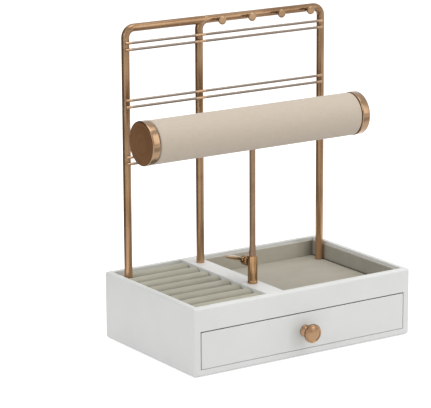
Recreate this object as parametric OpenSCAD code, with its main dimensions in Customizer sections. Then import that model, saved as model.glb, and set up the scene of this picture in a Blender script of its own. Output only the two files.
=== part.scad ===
// Jewellery stand: a painted box with two trays and a drawer, a tube frame with
// wires and hooks behind, and a padded bar on an adjustable post in front.
// Origin at the middle of the box's underside, X to the right, Y to the back, Z up.

/* [Box] */
// Width of the box, left to right
box_w = 205; // [180:1:240]
// Depth of the box, front to back
box_d = 130; // [116:1:160]
// Height of the box rim above the table
box_h = 55; // [52:1:75]
// Thickness of the side, front and back boards
wall_t = 5; // [4:0.5:7]
// Thickness of the felt sheet under the box
felt_t = 0.6; // [0.4:0.1:1.5]
// How far the felt sheet stays in from the box edge
felt_inset = 3; // [1:0.5:8]
// Thickness of the bottom board
bottom_t = 5.4; // [3:0.2:7]
// How far the front board reaches past the side boards at the drawer opening
stile_lip = 1; // [0.5:0.5:3]
// Thickness of the deck under the trays
deck_t = 2.5; // [2:0.5:4]

/* [Trays] */
// Depth of the trays below the box rim
tray_depth = 16.5; // [16:0.5:22]
// Place of the divider's middle, left of the box's middle
divider_x = -25; // [-45:1:0]
// Width of the divider
divider_w = 16; // [12:0.5:24]
// Thickness of the padded sheet on the tray's floor
floor_pad_t = 1.5; // [1:0.1:3]
// Thickness of the fabric strips on the tray's walls
liner_t = 1.2; // [0.8:0.1:2]
// Drop from the box rim to the top of the wall strips
liner_drop = 3; // [1:0.5:6]
// Rounding of the ring rolls' ends
roll_round = 2.5; // [1:0.5:4]
// How much of a ring roll's underside is pressed flat
roll_flat = 0.8; // [0.4:0.1:2]
// Thickness of the card that the ring rolls are glued to
roll_card_t = 1.5; // [0.8:0.1:2]

/* [Frame] */
// Height of the frame's top above the table
frame_h = 255; // [200:1:300]
// Distance from the back board to the middle of the legs
frame_inset = 15.5; // [8:0.5:30]
// Gap between the wall strips and the outer legs
leg_gap = 0.3; // [0.3:0.1:6]
// Diameter of the frame's tubes
tube_d = 6.4; // [5:0.2:8]
// Wall of the frame's tubes
tube_wall = 0.8; // [0.6:0.1:1.2]
// Radius of the tube's middle line in its bends
bend_r = 7.5; // [6:0.5:10]
// Diameter of the earring wires
wire_d = 2.2; // [1.4:0.1:2.6]
// Drop from the frame's top to the first wire
wire_drop = 14.2; // [14:0.2:22]
// Distance between the two wires of a pair
wire_gap = 5.2; // [3:0.2:8]
// Distance from one pair of wires to the next
pair_pitch = 45; // [30:1:55]

/* [Hooks] */
// Distance from a leg of the loop to the nearest hook
hook_margin = 16.25; // [12:0.25:24]
// Distance from the tube's middle to a hook's face
hook_reach = 10; // [8:0.5:14]
// Diameter of a hook's pin
hook_pin_d = 3; // [2:0.2:4]
// Diameter of a hook's head
hook_head_d = 7; // [5:0.5:9]
// Thickness of a hook's head
hook_head_t = 2; // [1.2:0.2:3]
// How far the hooks sit below the middle of the rail
hook_drop = 0.5; // [0:0.1:1]

/* [Bar and post] */
// Distance from the box's front to the middle of the post
post_inset = 35.5; // [24:0.5:50]
// Diameter of the post
post_d = 4.8; // [4:0.1:6]
// Height of the bar's middle above the table, with the post at its lowest
bar_z = 178.5; // [140:0.5:210]
// Length of the bar over its end caps
bar_len = 201; // [150:1:220]
// Diameter of the padded sleeve
bar_d = 33.8; // [30:0.2:45]
// Thickness of the padding and its fabric
sleeve_t = 3; // [2:0.2:5]
// Wall of the tube inside the bar
core_wall = 1.6; // [1:0.1:3]
// How far the end caps stand out beyond the fabric
cap_lip = 0.3; // [0.1:0.1:1]
// Length of an end cap outside the fabric
cap_len = 7; // [4:0.1:10]
// Rounding of an end cap's edge
cap_round = 1; // [0.5:0.1:2]
// Diameter of the sleeve that holds the post
ferrule_d = 7.6; // [7:0.2:12]
// Height of the sleeve that holds the post
ferrule_h = 22; // [18:0.5:40]

/* [Thumb screw] */
// Drop from the top of the post's sleeve to the thumb screw
thumb_drop = 5.2; // [4.6:0.1:7]
// Direction of the thumb screw, seen from above
thumb_turn = 100; // [90:1:150]
// Distance from the middle of the post to the blade's tip
thumb_reach = 29.5; // [25:0.5:34]
// Diameter of the thumb screw's thread
thumb_d = 3; // [2.5:0.1:3.4]
// Diameter of the thumb screw's collar
thumb_collar_d = 8.4; // [5:0.2:9]
// Length of the thumb screw's collar
thumb_collar_len = 7.6; // [5:0.2:9]
// Width of the thumb screw's blade
blade_w = 8; // [6:0.5:10]
// Thickness of the thumb screw's blade
blade_t = 2.2; // [1.4:0.1:3]

/* [Drawer] */
// Gap round the drawer's front
front_gap = 0.6; // [0.4:0.1:1.5]
// Room between the drawer's side boards and the deck
drawer_head = 5.7; // [3:0.1:10]
// Thickness of the drawer's side and back boards
drawer_side_t = 4; // [3:0.5:6]
// Thickness of the drawer's bottom board
drawer_bottom_t = 2.5; // [2:0.5:4]
// Thickness of the fabric on the drawer's floor
drawer_lining_t = 1; // [0.5:0.1:2]
// How far the drawer's sides stand in from the edge of its opening
drawer_inset = 1.5; // [1:0.1:3]

/* [Knob] */
// Diameter of the knob's head
knob_d = 15.2; // [12:0.2:20]
// How far the knob stands out from the drawer
knob_reach = 12.5; // [11.5:0.5:22]
// Thickness of the knob's head
knob_head_t = 4.4; // [3:0.2:6]
// How far the knob's face is domed
knob_dome = 1.2; // [0.6:0.1:2]
// Diameter of the knob's stem
knob_stem_d = 6; // [5:0.2:8]
// Diameter of the knob's foot
knob_foot_d = 9.4; // [8:0.2:14]
// Thickness of the knob's foot
knob_foot_t = 2.6; // [1.6:0.2:4]

/* [Hidden] */
$fn = 64;

// Clearances and overruns
over = 1;
face_gap = 0.1;
soft_gap = 0.3;
thread_gap = 0.05;
run_gap = 0.06;
slide_gap = 0.3;
weld_gap = 0.05;

// Heights and places in the box
inner_w = box_w - 2 * wall_t;
inner_d = box_d - 2 * wall_t;
floor_z = felt_t + bottom_t;
tray_z = box_h - tray_depth;
deck_z = tray_z - deck_t;
opening_h = deck_z - floor_z;
opening_w = inner_w - 2 * stile_lip;
front_y = -box_d / 2;
inner_front_y = front_y + wall_t;
inner_back_y = box_d / 2 - wall_t;
divider_left = divider_x - divider_w / 2;
divider_right = divider_x + divider_w / 2;
tray_right = inner_w / 2;

// Ring rolls: eight, side by side from the front board to the back board
ring_rolls = 8;
roll_pitch = inner_d / ring_rolls;
roll_r = (roll_pitch - face_gap) / 2;
roll_base_z = tray_z + roll_card_t;
roll_z = roll_base_z + roll_r - roll_flat;
roll_x = -inner_w / 2 + face_gap;
roll_len = divider_left - face_gap - roll_x;

// Frame
frame_y = inner_back_y - frame_inset;
tube_r = tube_d / 2;
leg_x = tray_right - liner_t - leg_gap - tube_r;
tube_bore_r = tube_r - tube_wall;
rail_z = frame_h - tube_r;
wire_r = wire_d / 2;
wire_y = frame_y - tube_r - wire_r - weld_gap;
hooks = 4;
hook_pitch = (leg_x - divider_x - 2 * hook_margin) / (hooks - 1);
hook_z = rail_z - hook_drop;
hook_pin_r = hook_pin_d / 2;
hook_head_r = hook_head_d / 2;
hook_edge = 0.5;
cope_share = 0.6;

// Screws that hold the frame, the ferrule, the bar and the knob
screw_r = 1.5;
screw_head_r = 3;
screw_head_t = 2;
screw_bite = 7;
insert_h = 9;

// Post and bar
post_y = front_y + post_inset;
post_r = post_d / 2;
ferrule_r = ferrule_d / 2;
ferrule_floor = 4;
post_z = box_h + ferrule_floor;
sleeve_r = bar_d / 2;
core_r = sleeve_r - sleeve_t;
core_bore_r = core_r - core_wall;
cap_r = sleeve_r + cap_lip;
sleeve_len = bar_len - 2 * cap_len - 2 * face_gap;
spigot_len = 9;
spigot_wall = 1.2;
cap_face_t = 1.6;
sleeve_round = 1.2;
bush_len = 16;
bush_top = 3.5;
bar_screw_bite = 6;
bar_screw_room = soft_gap + screw_head_t + slide_gap + bush_top;
post_top = bar_z + sqrt(core_bore_r * core_bore_r - screw_head_r * screw_head_r) - bar_screw_room;

// Thumb screw, along +X from the middle of the post, before it is turned
thumb_r = thumb_d / 2;
thumb_z = box_h + ferrule_h - thumb_drop;
thumb_tip = post_r + slide_gap / 2;
thumb_collar_x = ferrule_r + slide_gap;
thumb_neck_r = 1.8;
thumb_neck_len = 1.4;
thumb_blade_x = thumb_collar_x + thumb_collar_len + thumb_neck_len;
blade_root_w = 4.4;
knurl_count = 16;
knurl_r = 0.45;

// Drawer
drawer_z = floor_z + slide_gap;
drawer_h = opening_h - slide_gap - drawer_head;
drawer_w = opening_w - 2 * drawer_inset;
drawer_back_y = inner_back_y - slide_gap;
drawer_len = drawer_back_y - inner_front_y;
drawer_front_w = opening_w - 2 * front_gap;
drawer_front_h = opening_h - 2 * front_gap;
drawer_front_z = floor_z + front_gap;
guide_h = 12;
guide_t = (inner_w - drawer_w) / 2 - slide_gap;
guide_end = 2;

// Knob
knob_z = drawer_front_z + drawer_front_h / 2;
knob_stem_r = knob_stem_d / 2;
knob_foot_r = knob_foot_d / 2;
knob_neck_share = 0.8;
knob_neck_r = knob_stem_r * knob_neck_share;
knob_edge = 1.1;
knob_screw_bite = 8;

// Colours
paint_colour = [0.84, 0.84, 0.83];
board_colour = [0.80, 0.72, 0.60];
fabric_colour = [0.66, 0.65, 0.59];
sleeve_colour = [0.80, 0.76, 0.69];
metal_colour = [0.68, 0.50, 0.36];
screw_colour = [0.62, 0.62, 0.64];
felt_colour = [0.25, 0.25, 0.26];
core_colour = [0.72, 0.62, 0.48];

// A block from its low corner to its high corner
module block(low, high) {
    translate(low) cube(high - low);
}

// A round bar along X that starts at x = 0
module bar_along_x(r, len) {
    rotate([0, 90, 0]) cylinder(r = r, h = len);
}

// A round bar along Y that starts at y = 0
module bar_along_y(r, len) {
    rotate([-90, 0, 0]) cylinder(r = r, h = len);
}

// Felt sheet that the box stands on
module base_felt() {
    color(felt_colour)
        block([-box_w / 2 + felt_inset, front_y + felt_inset, 0],
            [box_w / 2 - felt_inset, box_d / 2 - felt_inset, felt_t]);
}

// Bottom board, between the four outer boards
module bottom_panel() {
    color(paint_colour)
        block([-inner_w / 2, inner_front_y, felt_t], [inner_w / 2, inner_back_y, floor_z]);
}

// Side boards, full depth behind the front board
module side_board(side) {
    color(paint_colour)
        block([side < 0 ? -box_w / 2 : inner_w / 2, inner_front_y, felt_t],
            [side < 0 ? -inner_w / 2 : box_w / 2, box_d / 2, box_h]);
}

// Back board, between the side boards
module back_panel() {
    color(paint_colour)
        block([-inner_w / 2, inner_back_y, felt_t], [inner_w / 2, box_d / 2, box_h]);
}

// Front board with the opening for the drawer
module front_frame() {
    color(paint_colour)
        difference() {
            block([-box_w / 2, front_y, felt_t], [box_w / 2, inner_front_y, box_h]);
            block([-opening_w / 2, front_y - over, floor_z],
                [opening_w / 2, inner_front_y + over, deck_z]);
        }
}

// Screw hole along Z
module screw_hole(x, y, low, high) {
    translate([x, y, low - over])
        cylinder(r = screw_r + thread_gap, h = high - low + 2 * over);
}

// Deck that both trays stand on
module deck() {
    color(paint_colour)
        difference() {
            block([-inner_w / 2, inner_front_y, deck_z], [inner_w / 2, inner_back_y, tray_z]);
            for (x = [-leg_x, divider_x, leg_x])
                screw_hole(x, frame_y, deck_z, tray_z);
            screw_hole(divider_x, post_y, deck_z, tray_z);
        }
}

// Divider between the ring rolls and the open tray; it carries the middle leg and the post
module divider() {
    color(paint_colour)
        difference() {
            block([divider_left, inner_front_y, tray_z], [divider_right, inner_back_y, box_h]);
            screw_hole(divider_x, frame_y, tray_z, box_h);
            screw_hole(divider_x, post_y, tray_z, box_h);
        }
}

// Strips beside the drawer that keep it straight
module guide(side) {
    color(board_colour)
        translate([side < 0 ? -inner_w / 2 : inner_w / 2 - guide_t, inner_front_y + guide_end, floor_z])
            cube([guide_t, inner_d - 2 * guide_end, guide_h]);
}

// Hole for a leg in a soft piece
module leg_hole(x, low, high) {
    translate([x, frame_y, low - over])
        cylinder(r = tube_r + soft_gap, h = high - low + 2 * over);
}

// Padded sheet on the floor of the open tray, inside the wall strips
module floor_pad() {
    color(fabric_colour)
        difference() {
            block([divider_right + liner_t + face_gap, inner_front_y + liner_t + face_gap, tray_z],
                [tray_right - liner_t - face_gap, inner_back_y - liner_t - face_gap,
                    tray_z + floor_pad_t]);
            leg_hole(leg_x, tray_z, tray_z + floor_pad_t);
        }
}

// Fabric strips on the walls of the open tray
module liner_long(low_y) {
    color(fabric_colour)
        translate([divider_right, low_y, tray_z])
            cube([tray_right - divider_right, liner_t, tray_depth - liner_drop]);
}

module liner_short(low_x) {
    color(fabric_colour)
        translate([low_x, inner_front_y + liner_t + face_gap, tray_z])
            cube([liner_t, inner_d - 2 * (liner_t + face_gap), tray_depth - liner_drop]);
}

// Card under the ring rolls, cut out round the left leg
module roll_card() {
    color(board_colour)
        difference() {
            block([roll_x, inner_front_y + face_gap, tray_z],
                [roll_x + roll_len, inner_back_y - face_gap, roll_base_z]);
            leg_hole(-leg_x, tray_z, roll_base_z);
        }
}

// A roll with rounded ends along X, before it is pressed flat underneath
module round_roll(r, len, edge) {
    translate([edge, 0, 0]) bar_along_x(r, len - 2 * edge);
    bar_along_x(r - edge, len);
    for (x = [edge, len - edge])
        translate([x, 0, 0]) rotate([0, 90, 0])
            rotate_extrude() translate([r - edge, 0]) circle(r = edge);
}

// One padded roll of the ring holder; rings are pushed in between two rolls
module ring_roll(n) {
    y = inner_back_y - (n - 0.5) * roll_pitch;
    color(fabric_colour)
        difference() {
            translate([roll_x, y, roll_z]) round_roll(roll_r, roll_len, roll_round);
            block([roll_x - over, y - roll_r - over, roll_base_z - roll_r],
                [roll_x + roll_len + over, y + roll_r + over, roll_base_z]);
            leg_hole(-leg_x, roll_base_z, box_h);
        }
}

// A quarter bend in the XZ plane: from a leg below its middle to a rail beside it
module bend(r) {
    rotate([90, 0, 0]) rotate_extrude(angle = 90) translate([bend_r, 0]) circle(r = r);
}

// Left leg, bend and rail up to the loop, as a bar of radius r
module left_run(r, foot) {
    translate([-leg_x, frame_y, foot]) cylinder(r = r, h = rail_z - bend_r - foot);
    translate([-leg_x + bend_r, frame_y, rail_z - bend_r]) mirror([1, 0, 0]) bend(r);
    translate([-leg_x + bend_r, frame_y, rail_z])
        bar_along_x(r, divider_x + leg_x);
}

// Middle leg, top rail and right leg in one piece, as a bar of radius r
module loop_run(r, mid_foot, right_foot) {
    translate([divider_x, frame_y, mid_foot]) cylinder(r = r, h = rail_z - bend_r - mid_foot);
    translate([divider_x + bend_r, frame_y, rail_z - bend_r]) mirror([1, 0, 0]) bend(r);
    translate([divider_x + bend_r, frame_y, rail_z])
        bar_along_x(r, leg_x - divider_x - 2 * bend_r);
    translate([leg_x - bend_r, frame_y, rail_z - bend_r]) bend(r);
    translate([leg_x, frame_y, right_foot]) cylinder(r = r, h = rail_z - bend_r - right_foot);
}

// Left leg and rail: its end is cut to the shape of the loop and welded to it
module rail_left() {
    color(metal_colour)
        difference() {
            left_run(tube_r, tray_z);
            left_run(tube_bore_r, tray_z - over);
            loop_run(tube_r + weld_gap, tray_z, tray_z);
            block([divider_x + cope_share * bend_r, frame_y - tube_d, rail_z - tube_d],
                [divider_x + bend_r + tube_d, frame_y + tube_d, rail_z + tube_d]);
        }
}

// Place of a hook along the rail
function hook_x(n) = divider_x + hook_margin + (n - 1) * hook_pitch;

// Middle leg, top rail and right leg, bent from one tube and drilled for the hooks
module rail_loop() {
    color(metal_colour)
        difference() {
            loop_run(tube_r, box_h, tray_z);
            loop_run(tube_bore_r, box_h - over, tray_z - over);
            for (n = [1:hooks])
                translate([hook_x(n), frame_y - tube_d, hook_z])
                    bar_along_y(hook_pin_r + weld_gap, tube_d);
        }
}

// Threaded insert in the foot of a leg
module leg_insert(x, foot) {
    translate([x, frame_y, foot])
        difference() {
            cylinder(r = tube_bore_r - weld_gap, h = insert_h);
            translate([0, 0, -over])
                cylinder(r = screw_r + thread_gap, h = insert_h + 2 * over);
        }
}

module leg_inserts() {
    color(screw_colour) {
        leg_insert(-leg_x, tray_z);
        leg_insert(divider_x, box_h);
        leg_insert(leg_x, tray_z);
    }
}

// A pan head screw that points up from the deck's underside
module deck_screw(x, y, top) {
    translate([x, y, deck_z - screw_head_t]) {
        cylinder(r = screw_head_r, h = screw_head_t);
        cylinder(r = screw_r, h = top - deck_z + screw_head_t);
    }
}

// Screws into the left and the right leg
module leg_screws() {
    color(screw_colour)
        for (x = [-leg_x, leg_x])
            deck_screw(x, frame_y, tray_z + screw_bite);
}

// Longer screw, through the divider into the middle leg
module leg_screw_mid() {
    color(screw_colour) deck_screw(divider_x, frame_y, box_h + screw_bite);
}

// Earring wires, in three pairs, welded across the front of the legs
module wire(n) {
    pair = floor((n - 1) / 2);
    z = frame_h - wire_drop - pair * pair_pitch - ((n - 1) % 2) * wire_gap;
    color(metal_colour)
        translate([-leg_x - wire_r, wire_y, z]) bar_along_x(wire_r, 2 * (leg_x + wire_r));
}

// Necklace hook: a pin through the front wall of the rail, with a round head
module hook(n) {
    color(metal_colour)
        translate([hook_x(n), frame_y - hook_reach, hook_z]) {
            translate([0, hook_edge, 0])
                bar_along_y(hook_pin_r, hook_reach - hook_edge - tube_bore_r + tube_wall / 2);
            translate([0, hook_edge, 0]) bar_along_y(hook_head_r, hook_head_t - 2 * hook_edge);
            bar_along_y(hook_head_r - hook_edge, hook_head_t);
            for (y = [hook_edge, hook_head_t - hook_edge])
                translate([0, y, 0]) rotate([-90, 0, 0])
                    rotate_extrude() translate([hook_head_r - hook_edge, 0]) circle(r = hook_edge);
        }
}

// Puts a piece made along +X on the thumb screw's line
module on_thumb_line() {
    translate([divider_x, post_y, thumb_z]) rotate([0, 0, thumb_turn]) children();
}

// Sleeve on the divider that holds the post
module ferrule() {
    color(metal_colour)
        difference() {
            translate([divider_x, post_y, box_h]) cylinder(r = ferrule_r, h = ferrule_h);
            translate([divider_x, post_y, post_z])
                cylinder(r = post_r + run_gap, h = ferrule_h);
            translate([divider_x, post_y, box_h - over])
                cylinder(r = screw_r + thread_gap, h = ferrule_floor + 2 * over);
            on_thumb_line() bar_along_x(thumb_r + thread_gap, ferrule_d);
        }
}

// Screw that holds the ferrule, from under the deck
module ferrule_screw() {
    color(screw_colour) deck_screw(divider_x, post_y, post_z - slide_gap);
}

// Post: its foot slides in the ferrule, its top carries the bar
module post() {
    color(metal_colour)
        difference() {
            translate([divider_x, post_y, post_z]) cylinder(r = post_r, h = post_top - post_z);
            translate([divider_x, post_y, post_top - bar_screw_bite - over])
                cylinder(r = screw_r + thread_gap, h = bar_screw_bite + 2 * over);
        }
}

// Screw in the post's top that keeps the bar on it
module bar_screw() {
    color(screw_colour)
        translate([divider_x, post_y, post_top - bar_screw_bite]) {
            cylinder(r = screw_r, h = bar_screw_bite + bush_top + slide_gap);
            translate([0, 0, bar_screw_bite + bush_top + slide_gap])
                cylinder(r = screw_head_r, h = screw_head_t);
        }
}

// Hole for the post through the bar's underside
module post_hole(gap) {
    translate([divider_x, post_y, bar_z - cap_r - over])
        cylinder(r = post_r + gap, h = cap_r + over);
}

// Bush across the bar's tube, which turns on the post
module bar_bush() {
    bush_r = core_bore_r - weld_gap;
    color(core_colour)
        difference() {
            intersection() {
                translate([divider_x - bush_len / 2, post_y, bar_z]) bar_along_x(bush_r, bush_len);
                block([divider_x - bush_len / 2 - over, post_y - bush_r, bar_z - bush_r - over],
                    [divider_x + bush_len / 2 + over, post_y + bush_r, post_top + bush_top]);
            }
            translate([divider_x, post_y, bar_z - cap_r])
                cylinder(r = post_r + run_gap, h = post_top + face_gap - bar_z + cap_r);
            translate([divider_x, post_y, post_top])
                cylinder(r = screw_r + run_gap, h = bush_top + over);
        }
}

// Tube inside the bar
module bar_core() {
    color(core_colour)
        difference() {
            translate([divider_x - sleeve_len / 2, post_y, bar_z]) bar_along_x(core_r, sleeve_len);
            translate([divider_x - sleeve_len / 2 - over, post_y, bar_z])
                bar_along_x(core_bore_r, sleeve_len + 2 * over);
            post_hole(slide_gap);
        }
}

// Padded fabric sleeve on the bar's tube
module bar_sleeve() {
    color(sleeve_colour)
        difference() {
            translate([divider_x - sleeve_len / 2, post_y, bar_z])
                round_roll(sleeve_r, sleeve_len, sleeve_round);
            translate([divider_x - sleeve_len / 2 - over, post_y, bar_z])
                bar_along_x(core_r + weld_gap, sleeve_len + 2 * over);
            post_hole(soft_gap);
        }
}

// End cap: a shallow metal cup whose rim plugs into the bar's tube
module end_cap(side) {
    spigot_r = core_bore_r - weld_gap;
    color(metal_colour)
        translate([divider_x, post_y, bar_z]) rotate([0, 0, side < 0 ? 180 : 0])
            translate([bar_len / 2 - cap_len, 0, 0])
                difference() {
                    union() {
                        bar_along_x(cap_r, cap_len - cap_round);
                        bar_along_x(cap_r - cap_round, cap_len);
                        translate([cap_len - cap_round, 0, 0]) rotate([0, 90, 0])
                            rotate_extrude() translate([cap_r - cap_round, 0]) circle(r = cap_round);
                        translate([-spigot_len, 0, 0]) bar_along_x(spigot_r, spigot_len + over);
                    }
                    translate([-spigot_len - over, 0, 0])
                        bar_along_x(spigot_r - spigot_wall, spigot_len + cap_len - cap_face_t + over);
                }
}

// Outline of the thumb screw's blade, from its root at x = 0
module blade_outline(len) {
    tip_r = blade_w / 2;
    polygon([[0, -blade_root_w / 2], [len - tip_r, -tip_r], [len - tip_r, tip_r],
        [0, blade_root_w / 2]]);
    translate([len - tip_r, 0]) circle(r = tip_r);
}

// Thumb screw that clamps the post in the ferrule
module thumb_screw() {
    collar_r = thumb_collar_d / 2;
    color(metal_colour)
        on_thumb_line() {
            translate([thumb_tip, 0, 0]) bar_along_x(thumb_r, thumb_collar_x - thumb_tip);
            translate([thumb_collar_x, 0, 0])
                difference() {
                    bar_along_x(collar_r, thumb_collar_len);
                    for (k = [0:knurl_count - 1])
                        rotate([k * 360 / knurl_count, 0, 0]) translate([-over, 0, collar_r])
                            bar_along_x(knurl_r, thumb_collar_len + 2 * over);
                }
            translate([thumb_collar_x, 0, 0])
                bar_along_x(thumb_neck_r, thumb_collar_len + thumb_neck_len);
            translate([thumb_blade_x, 0, -blade_t / 2])
                linear_extrude(blade_t) blade_outline(thumb_reach - thumb_blade_x);
        }
}

// Drawer front, flush in the opening
module drawer_front() {
    color(paint_colour)
        difference() {
            translate([-drawer_front_w / 2, front_y, drawer_front_z])
                cube([drawer_front_w, wall_t, drawer_front_h]);
            translate([0, front_y - over, knob_z])
                bar_along_y(screw_r + run_gap, wall_t + 2 * over);
        }
}

// Drawer side boards
module drawer_side(side) {
    color(board_colour)
        translate([side < 0 ? -drawer_w / 2 : drawer_w / 2 - drawer_side_t, inner_front_y, drawer_z])
            cube([drawer_side_t, drawer_len, drawer_h]);
}

// Drawer back board, between the sides
module drawer_back() {
    color(board_colour)
        block([-drawer_w / 2 + drawer_side_t, drawer_back_y - drawer_side_t, drawer_z],
            [drawer_w / 2 - drawer_side_t, drawer_back_y, drawer_z + drawer_h]);
}

// Drawer bottom board, between the sides and the back
module drawer_bottom() {
    color(board_colour)
        block([-drawer_w / 2 + drawer_side_t, inner_front_y, drawer_z],
            [drawer_w / 2 - drawer_side_t, drawer_back_y - drawer_side_t, drawer_z + drawer_bottom_t]);
}

// Fabric on the drawer's floor
module drawer_lining() {
    low_z = drawer_z + drawer_bottom_t;
    color(fabric_colour)
        block([-drawer_w / 2 + drawer_side_t + face_gap, inner_front_y + face_gap, low_z],
            [drawer_w / 2 - drawer_side_t - face_gap, drawer_back_y - drawer_side_t - face_gap,
                low_z + drawer_lining_t]);
}

// Knob, turned in one piece: foot, waisted stem and domed head
module knob() {
    head_r = knob_d / 2;
    head_y = knob_reach - knob_head_t;
    dome_r = (head_r * head_r + knob_dome * knob_dome) / (2 * knob_dome);
    stem_y = (knob_foot_t + head_y) / 2;
    color(metal_colour)
        translate([0, front_y, knob_z]) rotate([90, 0, 0])
            difference() {
                union() {
                    cylinder(r1 = knob_foot_r, r2 = knob_stem_r, h = knob_foot_t);
                    cylinder(r1 = knob_stem_r, r2 = knob_neck_r, h = stem_y);
                    translate([0, 0, stem_y])
                        cylinder(r1 = knob_neck_r, r2 = knob_stem_r, h = head_y - stem_y + over);
                    translate([0, 0, head_y])
                        cylinder(r1 = head_r - knob_edge, r2 = head_r, h = knob_edge);
                    intersection() {
                        translate([0, 0, head_y + knob_edge])
                            cylinder(r = head_r, h = knob_head_t - knob_edge);
                        translate([0, 0, knob_reach - dome_r]) sphere(r = dome_r);
                    }
                }
                translate([0, 0, -over]) cylinder(r = screw_r + thread_gap, h = knob_screw_bite + 2 * over);
            }
}

// Screw through the drawer front into the knob
module knob_screw() {
    color(screw_colour)
        translate([0, inner_front_y + screw_head_t, knob_z]) rotate([90, 0, 0]) {
            cylinder(r = screw_head_r, h = screw_head_t);
            cylinder(r = screw_r, h = screw_head_t + wall_t + knob_screw_bite);
        }
}

base_felt();
bottom_panel();
side_board(-1);  // side_left
side_board(1);  // side_right
back_panel();
front_frame();
deck();
divider();
guide(-1);  // guide_left
guide(1);  // guide_right
floor_pad();
liner_long(inner_front_y);  // liner_front
liner_long(inner_back_y - liner_t);  // liner_back
liner_short(divider_right);  // liner_left
liner_short(tray_right - liner_t);  // liner_right
roll_card();
ring_roll(1);  // ring_roll_1
ring_roll(2);  // ring_roll_2
ring_roll(3);  // ring_roll_3
ring_roll(4);  // ring_roll_4
ring_roll(5);  // ring_roll_5
ring_roll(6);  // ring_roll_6
ring_roll(7);  // ring_roll_7
ring_roll(8);  // ring_roll_8
rail_left();
rail_loop();
leg_inserts();
leg_screws();
leg_screw_mid();
wire(1);  // wire_1
wire(2);  // wire_2
wire(3);  // wire_3
wire(4);  // wire_4
wire(5);  // wire_5
wire(6);  // wire_6
hook(1);  // hook_1
hook(2);  // hook_2
hook(3);  // hook_3
hook(4);  // hook_4
ferrule();
ferrule_screw();
post();
bar_screw();
bar_bush();
bar_core();
bar_sleeve();
end_cap(-1);  // cap_left
end_cap(1);  // cap_right
thumb_screw();
drawer_front();
drawer_side(-1);  // drawer_side_left
drawer_side(1);  // drawer_side_right
drawer_back();
drawer_bottom();
drawer_lining();
knob();
knob_screw();
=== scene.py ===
from math import atan2, cos, hypot, pi, radians, sin, sqrt, tau

import bpy
from mathutils import Matrix, Vector, noise


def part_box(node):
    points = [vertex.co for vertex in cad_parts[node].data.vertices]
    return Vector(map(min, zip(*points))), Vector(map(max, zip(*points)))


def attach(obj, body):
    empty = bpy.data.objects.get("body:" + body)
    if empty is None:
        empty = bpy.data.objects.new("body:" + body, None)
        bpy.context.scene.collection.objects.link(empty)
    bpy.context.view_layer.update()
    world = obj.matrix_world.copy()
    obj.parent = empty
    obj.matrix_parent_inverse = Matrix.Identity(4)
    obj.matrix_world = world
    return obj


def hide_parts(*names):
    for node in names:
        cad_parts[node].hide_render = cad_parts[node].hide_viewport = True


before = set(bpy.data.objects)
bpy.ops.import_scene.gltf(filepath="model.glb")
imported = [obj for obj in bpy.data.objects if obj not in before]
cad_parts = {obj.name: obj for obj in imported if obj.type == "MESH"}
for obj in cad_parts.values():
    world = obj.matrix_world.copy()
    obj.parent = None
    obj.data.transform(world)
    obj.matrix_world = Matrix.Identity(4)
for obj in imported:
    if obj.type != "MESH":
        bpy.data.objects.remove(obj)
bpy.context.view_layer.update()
mm = 0.001


# Felt sheet under the box.
# A die-cut piece of dark grey needle felt, glued to the bottom board so that the box slides
# on a table without marking it.
def only(piece):
    """Leaves just this piece selected and active."""
    bpy.ops.object.select_all(action="DESELECT")
    piece.select_set(True)
    bpy.context.view_layer.objects.active = piece


def named(name):
    """Names the primitive that was just added and puts its place into its mesh."""
    piece = bpy.context.active_object
    piece.name = piece.data.name = name
    only(piece)
    bpy.ops.object.transform_apply(location=True, rotation=True, scale=True)
    return piece


def take(piece, kind, test):
    """Goes into edit mode with the vertices or faces selected that pass a test of their place."""
    only(piece)
    bpy.ops.object.mode_set(mode="EDIT")
    bpy.ops.mesh.select_mode(type=kind)
    bpy.ops.mesh.select_all(action="DESELECT")
    bpy.ops.object.mode_set(mode="OBJECT")
    if kind == "VERT":
        for corner in piece.data.vertices:
            corner.select = test(corner.co)
    else:
        for face in piece.data.polygons:
            face.select = test(face.center, face.normal)
    bpy.ops.object.mode_set(mode="EDIT")


def done():
    bpy.ops.object.mode_set(mode="OBJECT")


def refine(piece, kind, **settings):
    """Adds a modifier with these settings and applies it."""
    only(piece)
    modifier = piece.modifiers.new(kind.lower(), kind)
    for setting, value in settings.items():
        setattr(modifier, setting, value)
    bpy.ops.object.modifier_apply(modifier=modifier.name)


def shade_round(piece, angle):
    """Smooth shading that breaks at edges sharper than this many degrees."""
    only(piece)
    bpy.ops.object.shade_smooth_by_angle(angle=radians(angle))


def shade_flat_sides(piece, angle=35):
    """Smooth shading that leaves large flat faces flat."""
    shade_round(piece, angle)
    refine(piece, "WEIGHTED_NORMAL", keep_sharp=True, weight=80)


def tone(red, green, blue):
    """A colour written as the eye reads it, 0 to 255, in the shader's linear values."""
    return tuple((c / 255 / 12.92 if c < 11 else ((c / 255 + 0.055) / 1.055) ** 2.4)
                 for c in (red, green, blue)) + (1,)


def new_finish(name, roughness, **sockets):
    """A material with one shader, and the part's own coordinates to pattern it by."""
    material = bpy.data.materials.new(name)
    material.use_nodes = True
    tree = material.node_tree
    shader = tree.nodes["Principled BSDF"]
    shader.inputs["Roughness"].default_value = roughness
    for socket, value in sockets.items():
        shader.inputs[socket.replace("_", " ")].default_value = value
    place = tree.nodes.new("ShaderNodeTexCoord").outputs["Object"]
    return material, tree, shader, place


def node(tree, kind, inputs, output=0, **settings):
    """Adds a node, links or sets its inputs, and returns one of its outputs."""
    made = tree.nodes.new("ShaderNode" + kind)
    for setting, value in settings.items():
        setattr(made, setting, value)
    for socket, value in inputs.items():
        if isinstance(value, bpy.types.NodeSocket):
            tree.links.new(value, made.inputs[socket])
        else:
            made.inputs[socket].default_value = value
    return made.outputs[output]


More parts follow.
